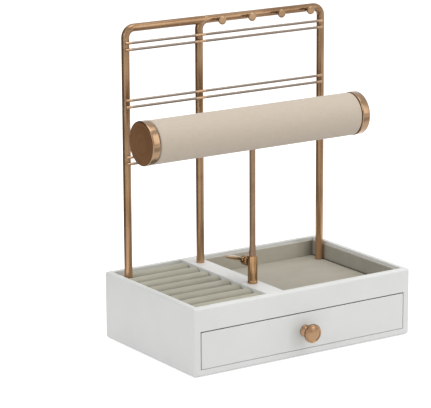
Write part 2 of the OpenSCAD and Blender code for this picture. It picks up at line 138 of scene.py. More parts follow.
def speckle(tree, place, scale, detail=2, rough=0.5, stretch=(1, 1, 1)):
    """Noise with this many lumps to the metre, drawn out along an axis by a small stretch."""
    drawn = node(tree, "Mapping", {"Vector": place, "Scale": stretch})
    return node(tree, "TexNoise",
                {"Vector": drawn, "Scale": scale, "Detail": detail, "Roughness": rough})


def grade(tree, factor, *stops):
    """A run of tones along a factor; each stop is (place, tone)."""
    made = tree.nodes.new("ShaderNodeValToRGB")
    tree.links.new(factor, made.inputs["Fac"])
    points = made.color_ramp.elements
    while len(points) < len(stops):
        points.new(0.5)
    for point, (at, colour) in zip(points, stops):
        point.position = at
        point.color = colour
    return made.outputs["Color"]


def relief(tree, shader, height, depth, strength, over=None):
    """Bumps the surface by a height, with its depth in metres; over is a bump that it adds to."""
    inputs = {"Height": height, "Distance": depth, "Strength": strength}
    if over is not None:
        inputs["Normal"] = over
    bump = node(tree, "Bump", inputs)
    tree.links.new(bump, shader.inputs["Normal"])
    return bump


def wear(piece, *materials):
    """Gives a piece its materials in place of those that it has."""
    piece.data.materials.clear()
    for material in materials:
        piece.data.materials.append(material)


felt, tree, shader, place = new_finish("needle_felt", 0.95, Sheen_Weight=0.35,
                                       Sheen_Roughness=0.6)
fibre = speckle(tree, place, 2600, 4, 0.7)
clump = speckle(tree, place, 240, 3)
tree.links.new(grade(tree, fibre, (0.3, tone(50, 50, 52)), (0.7, tone(84, 84, 86))),
               shader.inputs["Base Color"])
relief(tree, shader, clump, 0.15 * mm, 0.5, relief(tree, shader, fibre, 0.08 * mm, 0.7))

felt_low, felt_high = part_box("base_felt")
felt_size = felt_high - felt_low
felt_corner, felt_margin, felt_edge = 3 * mm, 0.6 * mm, 0.25 * mm
bpy.ops.mesh.primitive_plane_add(size=1, location=(felt_low + felt_high) / 2)
bpy.context.active_object.scale = (felt_size.x, felt_size.y, 1)
foot_felt = named("foot_felt")
take(foot_felt, "VERT", lambda at: True)
bpy.ops.mesh.bevel(offset=felt_corner, offset_pct=0, segments=6, affect="VERTICES")
bpy.ops.mesh.select_all(action="SELECT")
bpy.ops.mesh.inset(thickness=felt_margin)
done()
refine(foot_felt, "SOLIDIFY", thickness=felt_size.z, offset=0)
refine(foot_felt, "BEVEL", limit_method="ANGLE", width=felt_edge, segments=2)
shade_flat_sides(foot_felt)
wear(foot_felt, felt)
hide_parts("base_felt")
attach(foot_felt, "base")


# Box: front, sides, back and divider.
# Five boards, glued and filled so that no joint shows, then sprayed a satin grey-white.
# The outer corners are sanded round and the inner edges only broken.
def block(name, low, high):
    """A plain block from its low corner to its high corner, to be shaped further."""
    bpy.ops.mesh.primitive_cube_add(size=1, location=(Vector(low) + Vector(high)) / 2)
    bpy.context.active_object.scale = Vector(high) - Vector(low)
    return named(name)


def rod(name, foot, axis, radius, length, sides):
    """A plain round bar from its foot along an axis, to be shaped further or to cut with."""
    axis = Vector(axis).normalized()
    bpy.ops.mesh.primitive_cylinder_add(
        vertices=sides, radius=radius, depth=length, location=Vector(foot) + axis * length / 2,
        rotation=axis.to_track_quat("Z", "Y").to_euler())
    return named(name)


def cut(piece, *tools):
    """Takes other shapes out of a piece and throws them away."""
    for tool in tools:
        refine(piece, "BOOLEAN", operation="DIFFERENCE", solver="EXACT", object=tool)
        bpy.data.objects.remove(tool)


def soften(piece, width, segments, share):
    """Rounds the sharp edges by a share of a width; share(a, b) judges an edge by its ends."""
    only(piece)
    bpy.ops.object.mode_set(mode="EDIT")
    bpy.ops.mesh.select_mode(type="EDGE")
    bpy.ops.mesh.select_all(action="DESELECT")
    bpy.ops.mesh.edges_select_sharp(sharpness=radians(25))
    done()
    weights = piece.data.attributes.new("bevel_weight_edge", "FLOAT", "EDGE")
    corners = piece.data.vertices
    for edge in piece.data.edges:
        if edge.select:
            weights.data[edge.index].value = share(*(corners[i].co for i in edge.vertices))
    refine(piece, "BEVEL", limit_method="WEIGHT", width=width, segments=segments)


def both(a, b, axis, value, near=0.05 * mm):
    """Whether both ends of an edge lie at a value along an axis, on either side of zero."""
    return abs(abs(a[axis]) - value) < near and abs(abs(b[axis]) - value) < near


def spread(tree, factor, low, high, start=0.3, end=0.7):
    """Turns a factor from start to end, the middle of a noise's range, into low to high."""
    return node(tree, "MapRange", {"Value": factor, "From Min": start, "From Max": end,
                                   "To Min": low, "To Max": high})


def middle_of(name):
    """The middle of a node's box, as x, y and z."""
    return [(low + high) / 2 for low, high in zip(*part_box(name))]


paint, tree, shader, place = new_finish("satin_paint", 0.42, Specular_IOR_Level=0.42)
cloud = speckle(tree, place, 28, 3)
peel = speckle(tree, place, 760, 2, 0.45)
dust = speckle(tree, place, 3200, 2, 0.6)
tree.links.new(grade(tree, cloud, (0.35, tone(218, 219, 217)), (0.65, tone(221, 222, 220))),
               shader.inputs["Base Color"])
tree.links.new(spread(tree, peel, 0.36, 0.5), shader.inputs["Roughness"])
relief(tree, shader, dust, 0.006 * mm, 0.5, relief(tree, shader, peel, 0.025 * mm, 0.6))

front_low, front_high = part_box("front_frame")
deck_low, deck_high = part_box("deck")
divider_low, divider_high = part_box("divider")
face_low, face_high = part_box("drawer_front")
rim = front_high.z
half_w, half_d = front_high.x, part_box("back_panel")[1].y
face_gap = 0.6 * mm
beyond = 20 * mm
outer_round = 2 * mm
rim_outside, rim_inside, bottom_edge, opening_edge = 0.45, 0.3, 0.05, 0.2
screw_hole = 1.55 * mm
mid_leg_x = middle_of("divider")[0]
leg_y, post_y = middle_of("leg_screw_mid")[1], middle_of("ferrule_screw")[1]

carcass = block("carcass", front_low, (half_w, half_d, rim))
cut(carcass,
    block("drawer_room", (deck_low.x, deck_low.y, -beyond), deck_high),
    block("ring_tray", (deck_low.x, deck_low.y, deck_low.z - beyond),
          (divider_low.x, deck_high.y, rim + beyond)),
    block("open_tray", (divider_high.x, deck_low.y, deck_low.z - beyond),
          (deck_high.x, deck_high.y, rim + beyond)),
    block("drawer_opening", (face_low.x - face_gap, -half_d - beyond, face_low.z - face_gap),
          (face_high.x + face_gap, deck_low.y + beyond, face_high.z + face_gap)))


def corner_share(a, b):
    """How round an edge is sanded, as a share of the box's upright corners."""
    outside = both(a, b, 0, half_w) or both(a, b, 1, half_d)
    if both(a, b, 0, half_w) and both(a, b, 1, half_d):
        return 1
    if both(a, b, 2, rim):
        return rim_outside if outside else rim_inside
    if both(a, b, 2, front_low.z):
        return bottom_edge if outside else 0
    return opening_edge if both(a, b, 1, half_d) else 0


soften(carcass, outer_round, 4, corner_share)
cut(carcass, *(rod("screw_way", (mid_leg_x, y, 0), (0, 0, 1), screw_hole, rim + beyond,
                   sides=24) for y in (leg_y, post_y)))
shade_flat_sides(carcass)
wear(carcass, paint)
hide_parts("front_frame", "side_left", "side_right", "back_panel", "divider")
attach(carcass, "base")


# Boards inside: deck, bottom, drawer guides, the drawer's own boards, card under the rolls.
# Thin fibreboard let in between the outer boards: the deck carries both trays and all the
# screws, the bottom board closes the box, and two strips keep the drawer straight.
board, tree, shader, place = new_finish("fibreboard", 0.72, Specular_IOR_Level=0.25)
grain = speckle(tree, place, 420, 4, 0.6, (0.05, 1, 1))
chip = speckle(tree, place, 1500, 3, 0.6)
tree.links.new(grade(tree, grain, (0.3, tone(196, 174, 140)), (0.55, tone(214, 194, 162)),
                     (0.75, tone(222, 204, 176))), shader.inputs["Base Color"])
relief(tree, shader, chip, 0.03 * mm, 0.4, relief(tree, shader, grain, 0.04 * mm, 0.5))
for name in ("deck", "bottom_panel"):
    wear(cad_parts[name], paint)
for name in ("guide_left", "guide_right", "drawer_side_left", "drawer_side_right",
             "drawer_back", "drawer_bottom", "roll_card"):
    wear(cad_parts[name], board)


# Linings of the open tray.
# Card strips and a padded card, wrapped in beige-grey velvet and pressed in against the walls and
# the deck; a hair of shadow shows where they meet, deepened by painted shade at the feet of the
# side strips.
def velvet_finish(name, dark, light, painted_shade=None):
    """Short velvet brushed in patches; the last argument is an axis, the two places along it
    between which the colour is painted darker as shade, and how far."""
    material, tree, shader, place = new_finish(
        name, 0.92, Sheen_Weight=0.4, Sheen_Roughness=0.45, Sheen_Tint=tone(226, 220, 204),
        Specular_IOR_Level=0.15)
    pile = speckle(tree, place, 2400, 4, 0.65)
    brushed = speckle(tree, place, 60, 4, 0.6, (0.5, 1, 1))
    shown = node(tree, "MapRange", {"Value": pile, "To Min": -0.12, "To Max": 0.12})
    shown = node(tree, "Math", {0: brushed, 1: shown}, operation="ADD")
    nap = grade(tree, shown, (0.3, dark), (0.72, light))
    # Painted shade: the nap colour is mixed towards a dark tone between two places along one
    # axis.
    if painted_shade:
        axis, start, end, depth = painted_shade
        along = node(tree, "SeparateXYZ", {0: place}, axis)
        nap = node(tree, "Mix", {0: spread(tree, along, 0, depth, start, end), 6: nap,
                                 7: painted_shade_tone}, 2, data_type="RGBA")
    tree.links.new(nap, shader.inputs["Base Color"])
    relief(tree, shader, brushed, 0.12 * mm, 0.4, relief(tree, shader, pile, 0.1 * mm, 0.7))
    return material


# The dark tone that the velvets are painted towards where shade falls, in creases, grooves and
# corners (painted shade).
painted_shade_tone = tone(84, 80, 70)
velvet = velvet_finish("velvet", tone(165, 160, 147), tone(173, 169, 157))
pad_low, pad_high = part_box("floor_pad")
# The side strips take a darker copy of the velvet as painted shade, and are painted darker still
# towards their feet, where they meet the pad, as painted shade.
velvet_shaded_sides = velvet_finish("velvet_sides_painted_shade", tone(156, 152, 141), tone(166, 162, 152),
                               (2, pad_high.z + 0.9 * mm, pad_high.z - 0.4 * mm, 0.95))

# The back strip takes a lighter copy of the velvet as painted light, and is painted darker over
# its last stretch into the back right corner as painted shade.
corner_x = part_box("liner_back")[1].x
corner_shade_reach = 11 * mm
velvet_lit_back_shaded_corner = velvet_finish("velvet_back_painted_light_corner_shade", tone(181, 176, 162), tone(189, 185, 172),
                              (0, corner_x - corner_shade_reach, corner_x, 0.8))

wrap_round = 0.45 * mm
for name in ("liner_front", "liner_back", "liner_left", "liner_right"):
    strip = block(name.replace("liner", "lining"), *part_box(name))
    take(strip, "FACE", lambda at, facing: True)
    bpy.ops.mesh.subdivide(number_cuts=12)
    done()
    refine(strip, "BEVEL", limit_method="ANGLE", width=wrap_round, segments=3)
    shade_flat_sides(strip, 50)
    wear(strip, velvet_lit_back_shaded_corner if name == "liner_back" else
         velvet if name == "liner_front" else velvet_shaded_sides)
    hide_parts(name)
    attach(strip, "base")

pad_t = pad_high.z - pad_low.z
pad_edge, pad_edge_w = 0.72 * pad_t, 1.9 * mm
pad_wave, waves_per_m = 0.16 * mm, 45
bpy.ops.mesh.primitive_grid_add(
    x_subdivisions=76, y_subdivisions=78, size=1,
    location=((pad_low.x + pad_high.x) / 2, (pad_low.y + pad_high.y) / 2, pad_low.z))
bpy.context.active_object.scale = (pad_high.x - pad_low.x, pad_high.y - pad_low.y, 1)
tray_pad = named("tray_pad")
take(tray_pad, "FACE", lambda at, facing: True)
bpy.ops.mesh.extrude_region_move(TRANSFORM_OT_translate={"value": (0, 0, pad_t)})
bpy.ops.mesh.select_all(action="SELECT")
bpy.ops.mesh.normals_make_consistent(inside=False)
done()
for corner in tray_pad.data.vertices:
    if corner.co.z > pad_low.z + 0.1 * mm:
        inside = min(corner.co.x - pad_low.x, pad_high.x - corner.co.x,
                     corner.co.y - pad_low.y, pad_high.y - corner.co.y)
        crown = 1 - max(0, 1 - inside / pad_edge_w) ** 2
        corner.co.z -= pad_edge * (1 - crown) + pad_wave * (
            0.5 + 0.5 * noise.noise(corner.co * waves_per_m)) * crown
leg_low, leg_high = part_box("rail_left")
leg_r = (leg_high.y - leg_low.y) / 2
leg_x = leg_low.x + leg_r
leg_way = leg_r + 0.3 * mm
cut(tray_pad, rod("leg_way", (-leg_x, leg_y, 0), (0, 0, 1), leg_way, rim, sides=32))
shade_flat_sides(tray_pad, 50)
wear(tray_pad, velvet)
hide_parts("floor_pad")
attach(tray_pad, "base")


# Ring rolls.
# Eight foam rods in velvet sleeves, their ends tucked in, pressed side by side into the left
# tray so that a ring is gripped between two of them. The left leg squeezes in between two.
roll_low, roll_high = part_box("ring_roll_8")
roll_r = (roll_high.y - roll_low.y) / 2
roll_y = (roll_low.y + roll_high.y) / 2
roll_z = roll_high.z - roll_r
roll_swell, roll_flats, roll_round, roll_wave = 0.45 * mm, 0.3 * mm, 2.6 * mm, 0.1 * mm
tuck_edge, tuck_fold = 1.2 * mm, 2.2 * mm
roll_play, roll_crush = 0.02 * mm, 1.03
cloth_pressure, cloth_steps = 4, 12
start_r = roll_r - roll_swell
roll = rod("ring_roll", (roll_low.x + roll_swell, roll_y, roll_z), (1, 0, 0), start_r,
           roll_high.x - roll_low.x - 2 * roll_swell, sides=48)
take(roll, "FACE", lambda at, facing: abs(facing.x) > 0.9)
bpy.ops.mesh.inset(thickness=tuck_edge)
bpy.ops.mesh.inset(thickness=tuck_fold)
done()
soften(roll, roll_round, 4, lambda a, b: 1)
refine(roll, "REMESH", mode="VOXEL", voxel_size=1.1 * mm)
only(roll)
bpy.ops.object.duplicate()
puffed = bpy.context.active_object
cloth = puffed.modifiers.new("cloth", "CLOTH").settings
cloth.use_pressure = True
cloth.uniform_pressure_force = cloth_pressure
cloth.effector_weights.gravity = 0
for step in range(cloth_steps):
    bpy.context.scene.frame_set(step + 1)
swollen = puffed.evaluated_get(bpy.context.evaluated_depsgraph_get()).data.vertices
for corner, there in zip(roll.data.vertices, swollen):
    move = there.co - corner.co
    if move.length > roll_swell:
        move *= roll_swell / move.length
    corner.co += move
bpy.context.scene.frame_set(1)
bpy.data.objects.remove(puffed)
refine(roll, "SMOOTH", factor=0.5, iterations=4)
refine(roll, "SUBSURF", levels=1, render_levels=1)
middle_x = (roll_low.x + roll_high.x) / 2
widest = max(abs(corner.co.y - roll_y) for corner in roll.data.vertices)
longest = max(abs(corner.co.x - middle_x) for corner in roll.data.vertices)
for corner in roll.data.vertices:
    at = corner.co - Vector((middle_x, roll_y, roll_z))
    at.x *= (roll_high.x - middle_x) / longest
    at.y *= (roll_r - roll_play) / widest
    at.z *= roll_r / widest
    at.y = max(-roll_r + roll_flats, min(roll_r - roll_flats, at.y * roll_crush))
    at.z += roll_wave * noise.noise(Vector((at.x * 90, at.y * 200, 3)))
    corner.co = Vector((middle_x, roll_y, roll_z)) + at
    corner.co.z = max(roll_low.z, min(roll_high.z, corner.co.z))

# The rolls' velvet is painted darker below their crowns, as painted shade in the grooves between
# them.
velvet_rolls_groove_shade = velvet_finish("velvet_rolls_groove_shade", tone(164, 162, 147), tone(178, 176, 162),
                             (2, roll_high.z - 0.7 * mm, roll_high.z - 3 * mm, 0.38))
dent_start, dent_end, dent_share = 0.55 * leg_way, leg_way + 1.5 * mm, 0.4


def another(piece, name, placing):
    """A copy of a piece, with a mesh of its own that a matrix puts in its place."""
    made = piece.copy()
    made.data = piece.data.copy()
    made.name = made.data.name = name
    bpy.context.collection.objects.link(made)
    made.data.transform(placing)
    return made


for place_in_row in range(1, 9):
    name = f"ring_roll_{place_in_row}"
    low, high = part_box(name)
    made = another(roll, f"velvet_roll_{place_in_row}",
                   Matrix.Translation((0, low.y - roll_low.y, 0)))
    for corner in made.data.vertices:
        way = Vector((corner.co.x - leg_x, corner.co.y - leg_y, 0))
        near = way.length
        if near < dent_end and corner.co.z > roll_low.z:
            pushed = leg_way + max(0, near - dent_start) * dent_share
            if near < pushed:
                corner.co += way.normalized() * (pushed - near)
            corner.co.y = max(low.y, min(high.y, corner.co.y))
    only(made)
    bpy.ops.object.shade_smooth()
    wear(made, velvet_rolls_groove_shade)
    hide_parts(name)
    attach(made, "base")
bpy.data.objects.remove(roll)


# Tube frame.
# Two lengths of thin steel tube, bent, brushed and plated copper, painted paler towards the feet
# as painted light. The middle leg, top rail and right leg are one tube; the left one is brazed to
# its bend.
def brushed_tubes(bend_low, bend_high):
    """Brush lines up the legs and along the rails, changing over in the bends."""
    def lines(tree, place):
        up_legs = node(tree, "Mapping", {"Vector": place, "Scale": (1, 1, 0.02)})
        on_rails = node(tree, "Mapping", {"Vector": place, "Scale": (0.02, 1, 1)})
        height = node(tree, "SeparateXYZ", {0: place}, 2)
        return node(tree, "Mix", {0: spread(tree, height, 0, 1, bend_low, bend_high),
                                  4: up_legs, 5: on_rails}, 1, data_type="VECTOR")
    return lines


def copper_finish(name, light, dark, roughness, lines, metallic=1, marks=1, painted_foot_light=None):
    """Brushed copper plating; lines lays the brush or turning lines over the part, and marks is
    how deep they are; the last argument is a paler tone, painted on low down as painted light,
    and the heights between which it fades out."""
    material, tree, shader, place = new_finish(name, roughness, Metallic=metallic,
                                               Specular_IOR_Level=0.3)
    laid = lines(tree, place)
    scratch = speckle(tree, laid, 3600, 2, 0.6)
    streak = speckle(tree, laid, 900, 3, 0.6)
    patina = speckle(tree, place, 45, 3)
    mixed = node(tree, "Math", {0: streak, 1: patina}, operation="ADD")
    colour = grade(tree, node(tree, "Math", {0: mixed, 1: 0.5}, operation="MULTIPLY"),
                   (0.42, dark), (0.58, light))
    if painted_foot_light:
        paler, start, end = painted_foot_light
        height = node(tree, "SeparateXYZ", {0: place}, 2)
        colour = node(tree, "Mix", {0: spread(tree, height, 0.9, 0, start, end), 6: colour,
                                    7: paler}, 2, data_type="RGBA")
    tree.links.new(colour, shader.inputs["Base Color"])
    tree.links.new(spread(tree, streak, roughness - 0.04 * marks, roughness + 0.06 * marks),
                   shader.inputs["Roughness"])
    relief(tree, shader, scratch, 0.004 * mm, 0.5 * marks,
           relief(tree, shader, streak, 0.006 * mm, 0.3 * marks))
    return material


rail_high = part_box("rail_left")[1].z
bend_low, bend_high = rail_high - 10 * mm, rail_high - 6 * mm
# The copper is painted paler low on the legs, as painted light that makes up for the dark trays
# they reflect.
tube_copper = copper_finish("copper_tubes", tone(153, 122, 92), tone(130, 100, 72), 0.22,
                            brushed_tubes(bend_low, bend_high), 0.64,
                            painted_foot_light=(tone(182, 144, 108), rim + 4 * mm, rim + 40 * mm))
for name in ("rail_left", "rail_loop"):
    wear(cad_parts[name], tube_copper)


# Earring wires.
# Six straight wires with rounded ends, laid across the front of the legs and brazed to each of
# them. Their upper faces are painted lighter as painted highlight and the rest darker as painted
# shade; the braze leaves a copper tint beside the beads, lighter on top as painted highlight.
def brushed_straight(stretch):
    """Brush lines along the axis that is stretched."""
    return lambda tree, place: node(tree, "Mapping", {"Vector": place, "Scale": stretch})


def wire_finish(name, dark, light, roughness):
    """Drawn wire under a thin champagne plating."""
    material, tree, shader, place = new_finish(name, roughness, Metallic=0.4)
    streak = speckle(tree, place, 900, 3, 0.5, (0.03, 1, 1))
    tree.links.new(grade(tree, streak, (0.3, dark), (0.7, light)), shader.inputs["Base Color"])
    relief(tree, shader, streak, 0.004 * mm, 0.2)
    return material


def join(piece, *others):
    """Makes other pieces part of this one."""
    only(piece)
    for other in others:
        other.select_set(True)
    bpy.ops.object.join()


# Lit and shaded copies of the wire's plating: the darker one on the sides and underside as
# painted shade, the lighter one on the upper faces as painted highlight, and beside the legs a
# lighter copper tint on the upper faces as painted highlight.
champagne = wire_finish("champagne_wire_shaded", tone(114, 99, 86), tone(128, 113, 100), 0.3)
champagne_top_highlight = wire_finish("champagne_painted_highlight", tone(170, 155, 142), tone(182, 167, 154),
                               0.24)
tint_highlight = wire_finish("copper_tint_painted_highlight", tone(196, 166, 138), tone(208, 178, 150), 0.2)
braze = copper_finish("copper_braze", tone(186, 151, 118), tone(158, 123, 90), 0.24,
                      brushed_straight((1, 1, 1)), 0.7)
bead_size, bead_taper = Vector((1.7, 1.2, 1.35)) * mm, 0.3
wire_low, wire_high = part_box("wire_1")
wire_r = (wire_high.z - wire_low.z) / 2
wire_z = wire_high.z - wire_r
left_more, right_less = 1.5 * mm, 2.3 * mm
tint_reach, bead_aside, bead_out = 4.5 * mm, 1.5 * mm, 0.2 * mm
highlight_above = 0.45
braze_at = [x - bead_aside for x in (leg_x, mid_leg_x, -leg_x)]
wire = rod("wire", (wire_low.x - left_more, wire_high.y - wire_r, wire_z), (1, 0, 0), wire_r,
           wire_high.x - wire_low.x + left_more - right_less, sides=24)
soften(wire, 0.6 * wire_r, 4, lambda a, b: 1)
for x in braze_at:
    for way in (-1, 1):
        take(wire, "FACE", lambda at, facing: True)
        bpy.ops.mesh.bisect(plane_co=(x + way * tint_reach, 0, 0), plane_no=(1, 0, 0))
        done()
wire_faces = len(wire.data.polygons)
beads = []
for x in braze_at:
    bpy.ops.mesh.primitive_uv_sphere_add(
        segments=20, ring_count=12, radius=1,
        location=(x, leg_y - leg_r + bead_out, wire_z))
    bpy.context.active_object.scale = bead_size
    bead = named("bead")
    for corner in bead.data.vertices:
        aside = abs(corner.co.x - x) / bead_size.x
        corner.co.z = wire_z + (corner.co.z - wire_z) * (1 - bead_taper * aside)
    beads.append(bead)
join(wire, *beads)
for number in range(1, 7):
    made = another(wire, f"earring_wire_{number}", Matrix.Translation(
        (0, 0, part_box(f"wire_{number}")[0].z - wire_low.z)))
    shade_round(made, 50)
    wear(made, champagne, champagne_top_highlight, tint_highlight, braze)
    # Upper faces get the painted highlight; faces below them beside the legs, and the beads, get
    # the braze.
    for number_of_face, facet in enumerate(made.data.polygons):
        beside = min(abs(facet.center.x - x) for x in braze_at) < tint_reach
        on_top = facet.normal.z > highlight_above
        if number_of_face >= wire_faces or beside and not on_top:
            facet.material_index = 3
        elif on_top:
            facet.material_index = 2 if beside else 1
    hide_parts(f"wire_{number}")
    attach(made, "base")
bpy.data.objects.remove(wire)


# Necklace hooks.
# Four turned studs with a round flat head, pushed through holes in the rail's front and
# brazed, then plated with the frame.
def turned(name, outline, foot, axis, steps, corner_round):
    """Spins a closed outline of (distance along the axis, radius) round the axis."""
    bpy.ops.mesh.primitive_plane_add(size=mm, location=(0, 0, 0))
    piece = named(name)
    take(piece, "VERT", lambda at: True)
    bpy.ops.mesh.merge(type="CENTER")
    points = [Vector((radius, 0, along)) for along, radius in outline]
    bpy.ops.transform.translate(value=points[0])
    for before, after in zip(points, points[1:]):
        bpy.ops.mesh.extrude_region_move(TRANSFORM_OT_translate={"value": after - before})
    done()
    take(piece, "VERT", lambda at: at.x > 0.01 * mm)
    bpy.ops.mesh.bevel(offset=corner_round, offset_pct=0, segments=3, affect="VERTICES",
                       clamp_overlap=True)
    bpy.ops.mesh.select_all(action="SELECT")
    bpy.ops.mesh.spin(steps=steps, angle=tau, center=(0, 0, 0), axis=(0, 0, 1))
    bpy.ops.mesh.select_all(action="SELECT")
    bpy.ops.mesh.remove_doubles(threshold=0.002 * mm)
    bpy.ops.mesh.normals_make_consistent(inside=False)
    done()
    turn = Vector(axis).to_track_quat("Z", "Y").to_matrix().to_4x4()
    piece.data.transform(Matrix.Translation(foot) @ turn)
    return piece


hook_low, hook_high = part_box("hook_1")
hook_r = (hook_high.x - hook_low.x) / 2
hook_middle = middle_of("hook_1")
hook_pin, hook_head = 1.5 * mm, 2 * mm
hook_len = hook_high.y - hook_low.y
hook = turned("hook", [
    (0, 0), (0, hook_pin), (hook_len - hook_head - 0.5 * mm, hook_pin),
    (hook_len - hook_head, hook_pin + 0.45 * mm), (hook_len - hook_head, hook_r - 0.35 * mm),
    (hook_len - hook_head + 0.45 * mm, hook_r), (hook_len - 0.5 * mm, hook_r),
    (hook_len - 0.12 * mm, hook_r - 0.4 * mm), (hook_len, hook_r * 0.55), (hook_len, 0)],
    (hook_middle[0], hook_high.y, hook_middle[2]), (0, -1, 0), steps=48, corner_round=0.12 * mm)
stud_copper = copper_finish("copper_studs", tone(160, 132, 103), tone(146, 118, 90), 0.3,
                            brushed_straight((0.15, 1, 0.15)))
for number in range(1, 5):
    made = another(hook, f"necklace_hook_{number}", Matrix.Translation(
        (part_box(f"hook_{number}")[0].x - hook_low.x, 0, 0)))
    shade_round(made, 40)
    wear(made, stud_copper)
    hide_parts(f"hook_{number}")
    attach(made, "base")
bpy.data.objects.remove(hook)


# Screws and inserts.
# Zinc-plated pan head screws and threaded inserts, all out of sight: under the deck, behind
# the drawer front and inside the bar.
zinc, tree, shader, place = new_finish("zinc_plate", 0.34, Metallic=1)
streak = speckle(tree, place, 900, 3, 0.6)
tree.links.new(grade(tree, streak, (0.35, tone(158, 160, 164)), (0.65, tone(188, 190, 193))),
               shader.inputs["Base Color"])
tree.links.new(spread(tree, streak, 0.28, 0.42), shader.inputs["Roughness"])
relief(tree, shader, streak, 0.01 * mm, 0.4)
for name in ("leg_inserts", "leg_screws", "leg_screw_mid", "ferrule_screw", "bar_screw",
             "knob_screw"):
    wear(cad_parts[name], zinc)


# Post and its sleeve.
# A plated rod that slides in a turned sleeve on the divider. The sleeve has a low ring at its
# foot, a thin neck on top, and a tapped hole for the thumb screw.
post_copper = copper_finish("copper_post", tone(150, 123, 99), tone(122, 97, 75), 0.36,
                            brushed_straight((1, 1, 0.02)), 0.5)
wear(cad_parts["post"], post_copper)
sleeve_low, sleeve_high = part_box("ferrule")
sleeve_r = (sleeve_high.x - sleeve_low.x) / 2
sleeve_h = sleeve_high.z - sleeve_low.z
post_low, post_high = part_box("post")
post_r = (post_high.x - post_low.x) / 2
post_x = (post_low.x + post_high.x) / 2
post_play, neck_wall, neck_h = 0.06 * mm, 0.25 * mm, 4.4 * mm
bore = post_r + post_play
neck_r = bore + neck_wall
socket_floor = post_low.z - sleeve_low.z
thumb_z = middle_of("thumb_screw")[2]
thumb_turn = radians(100)
thumb_way = Vector((cos(thumb_turn), sin(thumb_turn), 0))
post_sleeve = turned("post_sleeve", [
    (socket_floor, screw_hole), (0, screw_hole), (0, sleeve_r + 0.1 * mm),
    (1.7 * mm, sleeve_r + 0.1 * mm), (2 * mm, sleeve_r - 0.1 * mm),
    (2.6 * mm, sleeve_r - 0.1 * mm), (2.9 * mm, sleeve_r), (sleeve_h - 0.4 * mm, sleeve_r),
    (sleeve_h, sleeve_r - 0.4 * mm), (sleeve_h, neck_r), (sleeve_h + neck_h, neck_r),
    (sleeve_h + neck_h, bore), (socket_floor, bore),
    (socket_floor, screw_hole)],
    (post_x, post_y, sleeve_low.z), (0, 0, 1), steps=64, corner_round=0.12 * mm)
cut(post_sleeve, rod("tapped_hole", (post_x, post_y, thumb_z), thumb_way, screw_hole,
                     2 * sleeve_r, sides=24))
shade_round(post_sleeve, 40)
wear(post_sleeve, copper_finish("copper_sleeve", tone(182, 146, 108), tone(146, 110, 74), 0.26,
                                brushed_straight((1, 1, 0.03))), post_copper)
for facet in post_sleeve.data.polygons:
    if facet.center.z > sleeve_high.z + 0.1 * mm:
        facet.material_index = 1
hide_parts("ferrule")
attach(post_sleeve, "base")


# Thumb screw.
# A cast wing on a knurled hub, threaded at its end: it clamps the post at the height that is
# set. Cast, tumbled and plated brighter than the tubes.
cast_copper = copper_finish("copper_cast", tone(176, 143, 105), tone(140, 109, 76), 0.14,
                            brushed_straight((1, 1, 1)))
hub_start, hub_len, hub_r = 4.1 * mm, 8.8 * mm, 4.2 * mm
blade_start, blade_tip, blade_w, blade_t = 13 * mm, 29.5 * mm, 7.4 * mm, 3.2 * mm
blade_droop, blade_widest = 0.6 * mm, 0.62
knurl_depth, knurl_count, knurl_twist = 0.7 * mm, 9, 0.9
hub = turned("hub", [
    (2.5 * mm, 0), (2.5 * mm, 1.1 * mm), (2.9 * mm, 1.5 * mm), (hub_start, 1.5 * mm),
    (hub_start, hub_r * 0.72), (hub_start + 0.9 * mm, hub_r * 0.98),
    (hub_start + 2.2 * mm, hub_r),
    (hub_start + 3.1 * mm, hub_r * 0.8), (hub_start + 3.9 * mm, hub_r * 0.88),
    (hub_start + 5.4 * mm, hub_r * 0.94), (hub_start + 6.8 * mm, hub_r * 0.7),
    (hub_start + hub_len, hub_r * 0.5), (hub_start + hub_len + 1.6 * mm, 1.8 * mm),
    (hub_start + hub_len + 1.6 * mm, 0)],
    (0, 0, 0), (1, 0, 0), steps=72, corner_round=0.15 * mm)
for corner in hub.data.vertices:
    at = corner.co
    radius = hypot(at.y, at.z)
    if radius > hub_r * 0.6:
        around = atan2(at.z, at.y)
        lump = knurl_depth * max(0, cos(knurl_count * around + at.x / mm * knurl_twist)) ** 2
        at.y *= (radius - lump) / radius
        at.z *= (radius - lump) / radius
blade = block("blade", (blade_start, -blade_w / 4, -blade_t / 2),
              (blade_tip, blade_w / 4, blade_t / 2))
take(blade, "FACE", lambda at, facing: True)
bpy.ops.mesh.subdivide(number_cuts=9)
done()
for corner in blade.data.vertices:
    at = corner.co
    along = (at.x - blade_start) / (blade_tip - blade_start)
    wide = (0.5 + 0.9 * along) if along < blade_widest else 1.06 * sqrt(
        max(0.02, 1 - ((along - blade_widest) / 0.4) ** 2))
    thick = 1.05 - 0.55 * along
    flat = at.y / (blade_w / 4)
    at.y = flat * wide * blade_w / 2 * 0.94
    at.z *= thick * (1 - 0.55 * flat * flat)
    at.z -= blade_droop * along
refine(blade, "SUBSURF", levels=2, render_levels=2)
join(hub, blade)
wing_screw = named("wing_screw")
wing_screw.data.transform(Matrix.Translation((post_x, post_y, thumb_z))
                          @ Matrix.Rotation(thumb_turn, 4, "Z"))
shade_round(wing_screw, 50)
wear(wing_screw, cast_copper)
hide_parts("thumb_screw")
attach(wing_screw, "thumb")


# Bar: card tube and bush.
# A wound kraft card tube with a turned wooden bush across its middle, which turns on the
# post; both are hidden by the fabric and the caps.
kraft, tree, shader, place = new_finish("kraft_card", 0.8, Specular_IOR_Level=0.2)
wound = speckle(tree, place, 300, 4, 0.6, (0.2, 1, 1))
tree.links.new(grade(tree, wound, (0.3, tone(160, 126, 86)), (0.7, tone(190, 156, 114))),
               shader.inputs["Base Color"])
relief(tree, shader, wound, 0.03 * mm, 0.5)
for name in ("bar_core", "bar_bush"):
    wear(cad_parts[name], kraft)


